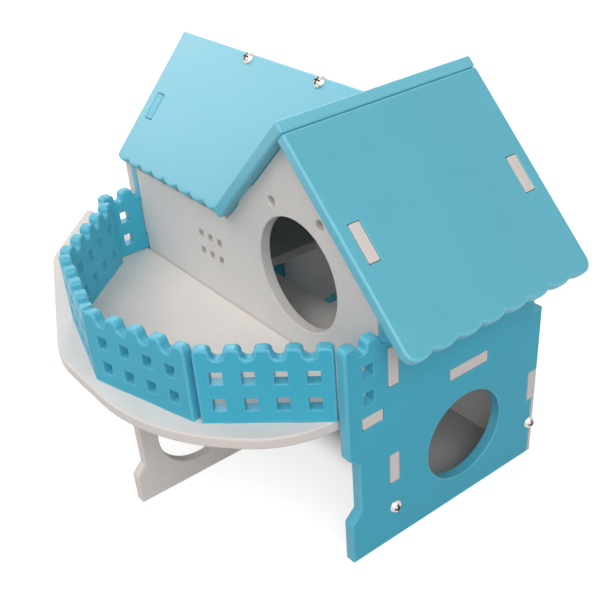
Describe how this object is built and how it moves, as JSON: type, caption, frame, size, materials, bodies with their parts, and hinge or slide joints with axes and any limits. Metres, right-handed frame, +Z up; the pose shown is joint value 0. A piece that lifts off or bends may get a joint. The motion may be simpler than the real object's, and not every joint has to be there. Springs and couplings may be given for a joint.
{
  "type": "small pet house",
  "caption": "Two-storey play house for a small pet: slotted boards, fenced deck in front, round doors, ramp inside, long roof crossed by a gable with a lift-off board.",
  "frame": {"origin": "on the ground, in the middle of the house's width, at the front face of the front wall, in the support wall's foot", "axes": "+X to the right of a person facing the front wall, +Y from the front to the back, +Z up"},
  "size_m": [0.2546, 0.1665, 0.1656],
  "materials": {
    "blue_board": "satin",
    "roof_board": "satin",
    "white_board": "satin",
    "screw_steel": "bright nickel"
  },
  "bodies": {
    "house": {"side_wall_right": "blue_board", "side_wall_left": "blue_board", "front_wall": "white_board", "back_wall": "white_board", "floor_plate": "white_board", "deck_plate": "white_board", "support_wall": "white_board", "climbing_ramp": "blue_board", "fence_right": "blue_board", "fence_front_right": "blue_board", "fence_front_left": "blue_board", "fence_left": "blue_board", "long_roof_front": "roof_board", "long_roof_rear": "roof_board", "gable_board_left": "roof_board", "wing_batten": "white_board", "screws_right_wall": "screw_steel", "screws_left_wall": "screw_steel", "screws_ridge": "screw_steel", "screws_batten": "screw_steel"},
    "roof_lid": {"gable_board_right": "roof_board"}
  },
  "joints": [
    {"name": "roof_lid_lift", "type": "slide", "parent": "house", "child": "roof_lid", "axis": [0.7071, 0, 0.7071], "range_m": [0, 0.04]}
  ]
}
